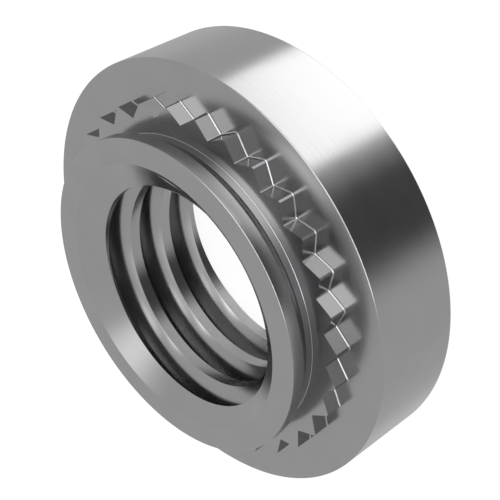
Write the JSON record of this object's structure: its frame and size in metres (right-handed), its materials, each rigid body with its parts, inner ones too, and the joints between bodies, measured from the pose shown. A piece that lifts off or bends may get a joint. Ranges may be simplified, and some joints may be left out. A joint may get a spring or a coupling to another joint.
{
  "type": "self clinching nut",
  "caption": "Round steel press-in nut with a knurled clinching ring, undercut shank and right-hand M5 x 0.8 thread for thin sheet metal.",
  "frame": {"origin": "centre of the head's plain back face, on the thread axis", "axes": "+Z along the thread axis, from the back face out of the shank; +X through a tooth tip of the clinching ring"},
  "size_m": [0.0088, 0.0086, 0.0028],
  "materials": {
    "steel": "smooth bright-turned steel, satin on the flat faces"
  },
  "bodies": {
    "root": {"clinch_nut": "steel"}
  },
  "joints": []
}
